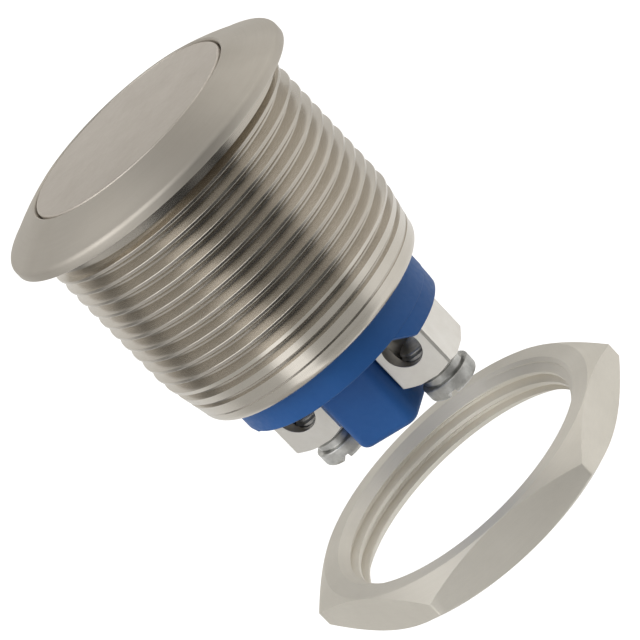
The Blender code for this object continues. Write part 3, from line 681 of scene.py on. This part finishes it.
def make_housing():
    housing = turned("housing_shell", bezel_outline() + barrel_outline())
    half_root = ROOT_FLAT / 2
    half_edge = half_root + (THREAD_DEPTH - CREST_EDGE) * math.tan(HALF_ANGLE)
    half_mouth = half_edge + 2 * CREST_EDGE * math.tan(2 * HALF_ANGLE)
    groove = [
        (ROOT_R, half_root),
        (CREST_R - CREST_EDGE, half_edge),
        (CREST_R + CREST_EDGE, half_mouth),
        (CREST_R + PITCH / 2, half_mouth),
    ]
    turns = math.ceil((BARREL_LENGTH - NECK_LENGTH) / PITCH) - 1
    cut(housing, helix("groove", both_sides(groove), -THREAD_TOP - turns * PITCH, turns))
    neck = rectangle(BODY_BORE_R + NECK_SINK, NECK_FULL_R, NECK_SINK, NECK_END_Z)
    cut(housing, shift(turned("neck", neck), spin=math.pi / RING_STEPS), "UNION")
    tidy_faces(housing, merge=SLIVER)
    show(housing, satin_nickel, "satin_nickel", "housing", "housing", angle=20)


# Actuator


def make_actuator():
    corner = (FACE_R - FACE_EDGE, FLANGE_HEIGHT - FACE_EDGE)
    groove_z = SHOULDER_Z - LAND_HEIGHT
    end_z = groove_z - SEAL_GROOVE - LAND_HEIGHT
    points = [(0, FLANGE_HEIGHT)]
    points += arc(corner, FACE_EDGE, 90, 0, 6)
    points += [
        (FACE_R, SHOULDER_Z),
        (LAND_R - LAND_EDGE, SHOULDER_Z),
        (LAND_R, SHOULDER_Z - LAND_EDGE),
        (LAND_R, groove_z),
        (SEAL_GROOVE_R, groove_z),
        (SEAL_GROOVE_R, groove_z - SEAL_GROOVE),
        (LAND_R, groove_z - SEAL_GROOVE),
        (LAND_R, end_z + LAND_EDGE),
        (LAND_R - LAND_EDGE, end_z),
        (SKIRT_R, end_z),
        (SKIRT_R, FACE_UNDER_Z),
        (BOSS_R, FACE_UNDER_Z),
        (BOSS_R, BOSS_END_Z),
        (SPIGOT_HOLE_R, BOSS_END_Z),
        (SPIGOT_HOLE_R, SPIGOT_HOLE_Z),
        (0, SPIGOT_HOLE_Z),
    ]
    actuator = turned("actuator_cap", points, closed=False)
    show(actuator, satin_face, "satin_nickel", "actuator", "actuator")


# Base


def base_disc():
    """The turned body of the base, with its seal's groove and the well for the spindle."""
    seal_z = BASE_FLANGE_Z + (BASE_INNER_Z - BASE_FLANGE_Z) / 2
    points = [
        (0, BASE_INNER_Z - WELL_DEPTH),
        (WELL_R, BASE_INNER_Z - WELL_DEPTH),
        (WELL_R, BASE_INNER_Z),
        (BASE_FLANGE_R, BASE_INNER_Z),
        (BASE_FLANGE_R, seal_z + BASE_GROOVE / 2),
        (BASE_GROOVE_R, seal_z + BASE_GROOVE / 2),
        (BASE_GROOVE_R, seal_z - BASE_GROOVE / 2),
        (BASE_FLANGE_R, seal_z - BASE_GROOVE / 2),
        (BASE_FLANGE_R, BASE_FLANGE_Z),
        (BASE_R, BASE_FLANGE_Z),
    ]
    points += arc((BASE_R - BASE_EDGE, BASE_FACE_Z + BASE_EDGE), BASE_EDGE, 0, -90, 4)
    points += [(0, BASE_FACE_Z)]
    return turned("base_moulding", points, closed=False)


def wall_width(low_z, foot_z):
    """A wedge-sided bar across the base, which leaves the rim walls their sloping ends."""
    half, foot = RIM_WALL_WIDTH / 2, RIM_WALL_FOOT / 2
    bar = block("width", (-BASE_FLANGE_R, -half, low_z), (BASE_FLANGE_R, half, foot_z))
    use(bar)
    bpy.ops.object.mode_set(mode="EDIT")
    bpy.ops.mesh.select_mode(type="FACE")
    bpy.ops.mesh.select_all(action="DESELECT")
    bpy.ops.object.mode_set(mode="OBJECT")
    for face in bar.data.polygons:
        face.select = face.normal.z > 0.5
    bpy.ops.object.mode_set(mode="EDIT")
    bpy.ops.transform.resize(value=(1, foot / half, 1))
    slope = (foot - half) / (foot_z - low_z)
    bpy.ops.mesh.extrude_region_move(TRANSFORM_OT_translate={"value": (0, 0, MM)})
    bpy.ops.transform.resize(value=(1, 1 + slope * MM / foot, 1))
    bpy.ops.mesh.select_mode(type="VERT")
    bpy.ops.object.mode_set(mode="OBJECT")
    return bar


def rim_walls(top_z):
    """The two low walls beyond the terminals, cut from one ring."""
    low_z = BASE_FACE_Z - RIM_WALL_HEIGHT
    inner_r, edge = RIM_WALL_R - RIM_WALL, RIM_WALL_EDGE
    points = [(inner_r, top_z), (RIM_WALL_R, top_z)]
    points += arc((RIM_WALL_R - edge, low_z + edge), edge, 0, -90, 3)
    points += arc((inner_r + edge, low_z + edge), edge, -90, -180, 3)
    return cut(turned("rim_walls", points), wall_width(low_z, BASE_FACE_Z), "INTERSECT")


def barrier_block(top_z):
    """The barrier between the terminals, with its rounded corners and end."""
    half_x, half_y = BARRIER_WIDTH / 2, BARRIER_DEPTH / 2
    low_z = BASE_FACE_Z - BARRIER_LENGTH
    barrier = block("barrier", (-half_x, -half_y, low_z), (half_x, half_y, top_z))
    bevel_where(barrier, upright, BARRIER_CORNER, 10)
    return bevel_where(barrier, lambda a, b: max(a.z, b.z) < low_z + CLEAR, BARRIER_END_CORNER, 7)


def make_base():
    base = base_disc()
    top_z = BASE_FACE_Z + 2 * BASE_EDGE
    cut(base, rim_walls(top_z), "UNION")
    cut(base, barrier_block(top_z), "UNION")
    half = POCKET_SIZE / 2
    low_z = BASE_FACE_Z - 2 * RIM_WALL_HEIGHT
    for x in (-TERMINAL_X, TERMINAL_X):
        cut(base, block("pocket", (x - half, -half, low_z), (x + half, half, BASE_FACE_Z + POCKET_DEPTH)))
        cut(base, drill("stud_hole", STUD_HOLE_R, BASE_INNER_Z + MM, BASE_FACE_Z, x))
    tidy_faces(base)
    show(base, blue_plastic, "blue_plastic", "housing", "base")


# Terminals and screws


def pair(piece, name, material, slot, bodies):
    """Puts a piece and its copy at the two terminals."""
    use(piece)
    bpy.ops.object.duplicate()
    other = bpy.context.object
    for side, sign, item in (("left", -1, piece), ("right", 1, other)):
        item.name = item.data.name = f"{name}_{side}_piece"
        shift(item, x=sign * TERMINAL_X)
        show(item, material, slot, bodies[side], f"{name}_{side}")


def terminal_block():
    """A terminal's square post with its chamfered end."""
    half = BLOCK_SIZE / 2
    post = block("terminal_post", (-half, -half, BLOCK_END_Z - BLOCK_EDGE), (half, half, BLOCK_TOP_Z))
    bevel_where(post, upright, BLOCK_EDGE, 1)
    side_r = BLOCK_SIZE / math.sqrt(2) + CLEAR
    drop = (side_r - CHAMFER_R) * math.tan(HALF_ANGLE)
    points = [
        (0, BLOCK_TOP_Z + MM),
        (side_r, BLOCK_TOP_Z + MM),
        (side_r, BLOCK_END_Z + drop),
        (CHAMFER_R, BLOCK_END_Z),
        (0, BLOCK_END_Z),
    ]
    return cut(post, turned("chamfer", points, POST_STEPS, closed=False), "INTERSECT")


def terminal_stud():
    """The stud that goes through the base, with its rivet end."""
    rivet_top = RIVET_Z + RIVET_HEIGHT
    root_z = BLOCK_TOP_Z - STUD_R / 2
    points = [
        (0, rivet_top),
        (STUD_R - RIVET_EDGE, rivet_top),
        (STUD_R, rivet_top - RIVET_EDGE),
        (STUD_R, RIVET_Z),
        (STUD_NECK_R, RIVET_Z),
        (STUD_NECK_R, BASE_INNER_Z),
        (STUD_R, BASE_INNER_Z),
        (STUD_R, root_z),
        (0, root_z),
    ]
    return turned("stud", points, SMALL_STEPS, closed=False)


def wire_hole():
    """The tool for the hole across a terminal, with its broken edges."""
    half = BLOCK_SIZE / 2
    points = [
        (0, half + MM),
        (WIRE_HOLE_R + WIRE_HOLE_EDGE + MM, half + MM),
        (WIRE_HOLE_R, half - WIRE_HOLE_EDGE),
    ]
    tool = turned("wire_hole", both_sides(points), POST_STEPS, closed=False)
    return shift(tool, z=WIRE_HOLE_Z, tip=math.radians(90))


def make_terminals():
    post = terminal_block()
    cut(post, terminal_stud(), "UNION")
    cut(post, drill("bore", SCREW_BORE_R, SCREW_BORE_Z, BLOCK_END_Z - MM))
    cut(post, wire_hole())
    tidy_faces(post)
    pair(post, "terminal", plated_brass, "plated_brass", {"left": "housing", "right": "housing"})


def screw_body():
    """A screw without its thread and slot."""
    relief_r = SCREW_R - SCREW_RELIEF
    relief_z = HEAD_UNDER_Z + SCREW_RELIEF_LENGTH
    points = [
        (0, SCREW_TIP_Z),
        (SCREW_R - SCREW_TIP_EDGE, SCREW_TIP_Z),
        (SCREW_R, SCREW_TIP_Z - SCREW_TIP_EDGE),
        (SCREW_R, relief_z),
        (relief_r, relief_z),
        (relief_r, HEAD_UNDER_Z),
        (HEAD_R - HEAD_EDGE, HEAD_UNDER_Z),
        (HEAD_R, HEAD_UNDER_Z - HEAD_EDGE),
    ]
    points += arc((HEAD_R - HEAD_CORNER, HEAD_END_Z + HEAD_CORNER), HEAD_CORNER, 0, -90, 8)
    points += [(0, HEAD_END_Z)]
    return turned("screw", points, POST_STEPS, closed=False)


def make_screws():
    screw = screw_body()
    half_root = SCREW_ROOT_FLAT / 2
    half_mouth = half_root + SCREW_GROOVE * math.tan(HALF_ANGLE)
    over = 0.2 * MM
    groove = [(SCREW_R - SCREW_GROOVE, half_root), (SCREW_R, half_mouth), (SCREW_R + over, half_mouth)]
    low_z = SCREW_TIP_Z - (SCREW_TURNS - 1) * SCREW_PITCH
    tool = helix("screw_groove", both_sides(groove), low_z, SCREW_TURNS, SCREW_PITCH, SCREW_STEPS, 0.0)
    cut(screw, tool)
    side, reach = SLOT_WIDTH / 2, 2 * HEAD_R
    slot = block("slot", (-side, -reach, HEAD_END_Z - MM), (side, reach, HEAD_END_Z + SLOT_DEPTH))
    cut(screw, shift(slot, spin=SLOT_TURN))
    tidy_faces(screw)
    pair(screw, "terminal_screw", zinc_steel, "zinc_steel", {"left": "screw_left", "right": "screw_right"})


# Nut


def hexagon():
    """The nut's hexagon before its chamfers and bore, a little too thick."""
    select_none()
    bpy.ops.mesh.primitive_cylinder_add(
        vertices=6,
        radius=NUT_FLATS / math.sqrt(3),
        depth=NUT_THICKNESS + NUT_SPARE,
        location=(0, 0, NUT_TOP_Z - NUT_THICKNESS / 2),
    )
    nut = bpy.context.object
    nut.name = nut.data.name = "nut_ring"
    bpy.ops.object.transform_apply(location=True, rotation=True, scale=True)
    return bevel_where(nut, upright, NUT_EDGE, 3)


def nut_chamfer(low_z):
    """The turned shape that gives the nut its chamfered faces."""
    side_r = NUT_FLATS / math.sqrt(3) + CLEAR
    drop = (side_r - NUT_CHAMFER_R) * math.tan(HALF_ANGLE)
    points = [
        (0, NUT_TOP_Z),
        (NUT_CHAMFER_R, NUT_TOP_Z),
        (side_r, NUT_TOP_Z - drop),
        (side_r, low_z + drop),
        (NUT_CHAMFER_R, low_z),
        (0, low_z),
    ]
    return turned("nut_chamfer", points, closed=False)


def nut_hole(low_z):
    """The tool for the nut's bore, with its countersunk mouths."""
    reach = (NUT_MOUTH_R - NUT_BORE_R) * NUT_MOUTH_SLOPE
    over = MM * NUT_MOUTH_SLOPE
    points = [
        (0, NUT_TOP_Z + over),
        (NUT_MOUTH_R + MM, NUT_TOP_Z + over),
        (NUT_MOUTH_R, NUT_TOP_Z),
        (NUT_BORE_R, NUT_TOP_Z - reach),
        (NUT_BORE_R, low_z + reach),
        (NUT_MOUTH_R, low_z),
        (NUT_MOUTH_R + MM, low_z - over),
        (0, low_z - over),
    ]
    return turned("nut_hole", points, closed=False)


def make_nut():
    low_z = NUT_TOP_Z - NUT_THICKNESS
    nut = hexagon()
    cut(nut, nut_chamfer(low_z), "INTERSECT")
    cut(nut, nut_hole(low_z))
    half_top = NUT_GROOVE_FLAT / 2
    half_low = half_top + (NUT_GROOVE_R - NUT_BORE_R) * math.tan(HALF_ANGLE)
    under = 0.3 * MM
    groove = [(NUT_GROOVE_R, half_top), (NUT_BORE_R, half_low), (NUT_BORE_R - under, half_low)]
    cut(nut, helix("nut_groove", both_sides(groove), low_z - 2 * PITCH, NUT_GROOVE_TURNS))
    tidy_faces(nut, merge=SLIVER)
    show(nut, nut_nickel, "satin_nickel", "nut", "mounting_nut")


# Springs


def make_spring(name, coil_r, wire_r, low_z, high_z, open_turns):
    """A compression spring whose first and last turns lie closed."""
    closed_lift = CLOSED_LIFT * wire_r
    low, high = low_z + wire_r, high_z - wire_r
    open_lift = (high - low - 2 * closed_lift) / open_turns
    stretches = (
        (low, 1, closed_lift),
        (low + closed_lift, open_turns, open_lift),
        (high - closed_lift, 1, closed_lift),
    )
    parts = []
    for z, turns, lift in stretches:
        part = draw_outline(name, arc((coil_r, z), wire_r, 0, 330, 11))
        spin_outline(part, COIL_STEPS, turns, lift)
        parts.append(part)
    select_none()
    for part in parts:
        part.select_set(True)
    spring = parts[0]
    bpy.context.view_layer.objects.active = spring
    bpy.ops.object.join()
    spring.name = spring.data.name = name + "_coil"
    tidy_faces(spring, fill=True)
    return spring


def make_return_spring():
    spring = make_spring(
        "return_spring", RETURN_COIL_R, RETURN_WIRE_R, RETURN_LOW_Z, RETURN_HIGH_Z, RETURN_TURNS
    )
    show(spring, bright_steel, "bright_steel", "housing", "return_spring", angle=60)
    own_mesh(spring)


def make_contact_spring():
    spring = make_spring(
        "contact_spring", CONTACT_COIL_R, CONTACT_WIRE_R, CONTACT_LOW_Z, CONTACT_HIGH_Z, CONTACT_TURNS
    )
    show(spring, bright_steel, "bright_steel", "actuator", "contact_spring", angle=60)
    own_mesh(spring)


make_housing()
make_actuator()
make_base()
make_terminals()
make_screws()
make_nut()
make_return_spring()
make_contact_spring()

# Finishes of the inner pieces that keep their own mesh
INNER = {
    "actuator_seal": black_rubber,
    "base_seal": black_rubber,
    "plunger": white_plastic,
    "bridge_clip": bright_steel,
    "contact_guide": black_plastic,
    "contact_bridge": copper_strip,
    "fixed_contact_left": copper_strip,
    "fixed_contact_right": copper_strip,
    "moving_tip_left": contact_silver,
    "moving_tip_right": contact_silver,
    "fixed_tip_left": contact_silver,
    "fixed_tip_right": contact_silver,
}
for node, material in INNER.items():
    for slot in bpy.data.objects[node].material_slots:
        slot.material = material


# Studio

# Camera: the direction it stands in, its level right, and how it is rolled
VIEW = Vector((0.5144, -0.8068, 0.2906)).normalized()
RIGHT = Vector((0.8432, 0.5376, 0.0)).normalized()
TARGET = Vector((0, 0, -8 * MM))
DISTANCE = 216.115 * MM
ROLL = math.radians(43.83)
LENS = 196.1
SENSOR_WIDTH = 36

# The picture's focal length, and how far right of and below the target it is aimed, in pixels
FOCAL_PIXELS = 3486
AIM_RIGHT = 84.1
AIM_DOWN = 78.0

# Paper: its sides, how far back of the part its middle lies, its height and its light
PAPER_WIDTH = 220 * MM
PAPER_LENGTH = 560 * MM
PAPER_BACK = 190 * MM
PAPER_Z = -62 * MM
PAPER_GLOW = 0.75

# Softbox: its side, its power, and its place from the target
SOFTBOX_SIZE = 800 * MM
SOFTBOX_POWER = 2.8
SOFTBOX_DISTANCE = 600 * MM
SOFTBOX_SIDE = math.radians(-50)
SOFTBOX_LIFT = math.radians(36)

# Light round the part, by the angle to the camera's right in degrees
LIGHT_ROUND = (
    (-180, 0.8),
    (-150, 0.75),
    (-135, 0.6),
    (-122, 0.24),
    (-112, 0.2),
    (-100, 0.5),
    (-88, 0.52),
    (-70, 0.42),
    (-48, 0.34),
    (-28, 0.06),
    (-14, 0.05),
    (-7, 0.04),
    (0, 0.04),
    (12, 0.11),
    (20, 0.13),
    (32, 0.03),
    (42, 0.03),
    (49, 0.36),
    (58, 0.66),
    (90, 0.76),
    (116, 0.76),
    (138, 0.6),
    (180, 0.74),
)
# Light overhead, by how far a direction leans to the side that OVER_SIDE gives
LIGHT_OVER = (
    (-1.0, 0.6),
    (-0.5, 0.4),
    (-0.05, 0.3),
    (0.05, 0.12),
    (0.33, 0.1),
    (0.4, 1.0),
    (1.0, 1.1),
)
OVER_SIDE = math.radians(108)
# Heights of a direction between which the light overhead takes over
OVER_HEIGHTS = (0.4, 0.72)
LIGHT_TINT = (1.0, 0.985, 0.95)
WHITE = (1, 1, 1)


def radians(first, last):
    return math.radians(first), math.radians(last)


def make_camera():
    over = VIEW.cross(RIGHT).normalized()
    right = RIGHT * math.cos(ROLL) - over * math.sin(ROLL)
    up = RIGHT * math.sin(ROLL) + over * math.cos(ROLL)
    place = TARGET + VIEW * DISTANCE
    aim = TARGET + (right * AIM_RIGHT - up * AIM_DOWN) * (DISTANCE / FOCAL_PIXELS)
    back = (place - aim).normalized()
    side = up.cross(back).normalized()
    data = bpy.data.cameras.new("camera")
    data.lens = LENS
    data.sensor_width = SENSOR_WIDTH
    data.clip_start = 10 * MM
    camera = bpy.data.objects.new("camera", data)
    camera.matrix_world = Matrix((side, back.cross(side), back)).transposed().to_4x4()
    camera.location = place
    bpy.context.scene.collection.objects.link(camera)
    bpy.context.scene.camera = camera


def painted_light_pools(nodes):
    """How brightly the paper glows where metal mirrors it: painted pools of light behind the part and in
    patches at its left and right.
    """
    x, y, z = nodes.split(nodes.place)
    behind = nodes.level(y, (10 * MM - PAPER_BACK, 45 * MM - PAPER_BACK), (0.0, 0.45))
    angle = nodes.math("ARCTAN2", x, nodes.math("SUBTRACT", -PAPER_BACK, y))
    left = nodes.math(
        "MULTIPLY",
        nodes.level(angle, radians(-52, -44), (0.0, 1.0)),
        nodes.level(angle, radians(-24, -16), (1.0, 0.0)),
    )
    right = nodes.level(angle, radians(40, 55), (0.0, 0.6))
    return nodes.math("MAXIMUM", behind, nodes.math("ADD", left, right))


def make_paper():
    """A flat sheet of white paper that lies under the part and reaches back from it, with painted pools of
    light that only its reflections show.
    """
    select_none()
    bpy.ops.mesh.primitive_plane_add(size=1, location=(0, 0, 0))
    floor = bpy.context.object
    floor.name = floor.data.name = "floor"
    floor.scale = (PAPER_WIDTH, PAPER_LENGTH, 1)
    bpy.ops.object.transform_apply(location=True, rotation=True, scale=True)
    back = Vector((-VIEW.x, -VIEW.y, 0)).normalized()
    floor.rotation_euler = (0, 0, math.atan2(-back.x, back.y))
    floor.location = back * PAPER_BACK + Vector((0, 0, PAPER_Z))
    nodes = Finish("paper", 0.0, 0.9)
    nodes.set("Base Color", (0.65, 0.65, 0.64, 1))
    lit = nodes.shader.outputs[0]
    glow = nodes.node("ShaderNodeEmission", {"Strength": PAPER_GLOW})
    both = nodes.node("ShaderNodeAddShader", {0: lit, 1: glow.outputs[0]})
    path = nodes.node("ShaderNodeLightPath").outputs
    through = nodes.math("MAXIMUM", path["Is Glossy Ray"], path["Is Transmission Ray"])
    # Painted pools of light on the paper, seen only by glossy and transmission rays
    mirrored = nodes.math("MULTIPLY", through, painted_light_pools(nodes))
    seen = nodes.math("MAXIMUM", path["Is Camera Ray"], mirrored)
    mix = nodes.node("ShaderNodeMixShader", {0: seen, 1: lit, 2: both.outputs[0]})
    nodes.feed(nodes.tree.nodes["Material Output"].inputs["Surface"], mix.outputs[0])
    floor.data.materials.append(nodes.material)


def light_ramp(nodes, value, stops):
    """The light at each place along a value, from (place, light) stops."""
    first, last = stops[0][0], stops[-1][0]
    ramp = nodes.node("ShaderNodeValToRGB", {"Fac": value})
    elements = ramp.color_ramp.elements
    while len(elements) < len(stops):
        elements.new(0.5)
    for element, (place, light) in zip(elements, stops):
        element.position = (place - first) / (last - first)
        element.color = opaque([light * share for share in LIGHT_TINT])
    return ramp.outputs[0]


def make_world():
    """White behind the part, and light with dark strips for the metal to mirror."""
    world = bpy.data.worlds.new("studio")
    bpy.context.scene.world = world
    world.use_nodes = True
    nodes = Tree(world.node_tree)
    facing = math.atan2(VIEW.y, VIEW.x)
    place = nodes.node("ShaderNodeTexCoord").outputs["Generated"]
    faced = nodes.node("ShaderNodeMapping", {"Vector": place, "Rotation": (0, 0, -facing)}).outputs[0]
    x, y, z = nodes.split(faced)
    angle = nodes.level(nodes.math("ARCTAN2", y, x), (-math.pi, math.pi), (0.0, 1.0))
    side = (math.cos(OVER_SIDE), math.sin(OVER_SIDE), 0)
    lean = nodes.node("ShaderNodeVectorMath", {0: faced, 1: side}, operation="DOT_PRODUCT").outputs["Value"]
    low = light_ramp(nodes, angle, LIGHT_ROUND)
    over = light_ramp(nodes, nodes.level(lean, (-1.0, 1.0), (0.0, 1.0)), LIGHT_OVER)
    light = nodes.mix(nodes.level(z, OVER_HEIGHTS, (0.0, 1.0)), low, over)
    camera_ray = nodes.node("ShaderNodeLightPath").outputs["Is Camera Ray"]
    nodes.feed(nodes.tree.nodes["Background"].inputs["Color"], nodes.mix(camera_ray, light, WHITE))


def make_softbox():
    data = bpy.data.lights.new("softbox", "AREA")
    data.shape = "SQUARE"
    data.size = SOFTBOX_SIZE
    data.energy = SOFTBOX_POWER
    lamp = bpy.data.objects.new("softbox", data)
    turn = math.atan2(VIEW.y, VIEW.x) + SOFTBOX_SIDE
    level = math.cos(SOFTBOX_LIFT)
    aim = Vector((math.cos(turn) * level, math.sin(turn) * level, math.sin(SOFTBOX_LIFT)))
    lamp.location = TARGET + aim * SOFTBOX_DISTANCE
    lamp.rotation_euler = aim.to_track_quat("Z", "Y").to_euler()
    bpy.context.scene.collection.objects.link(lamp)


bpy.context.scene.view_settings.view_transform = "Standard"
make_camera()
make_paper()
make_world()
make_softbox()
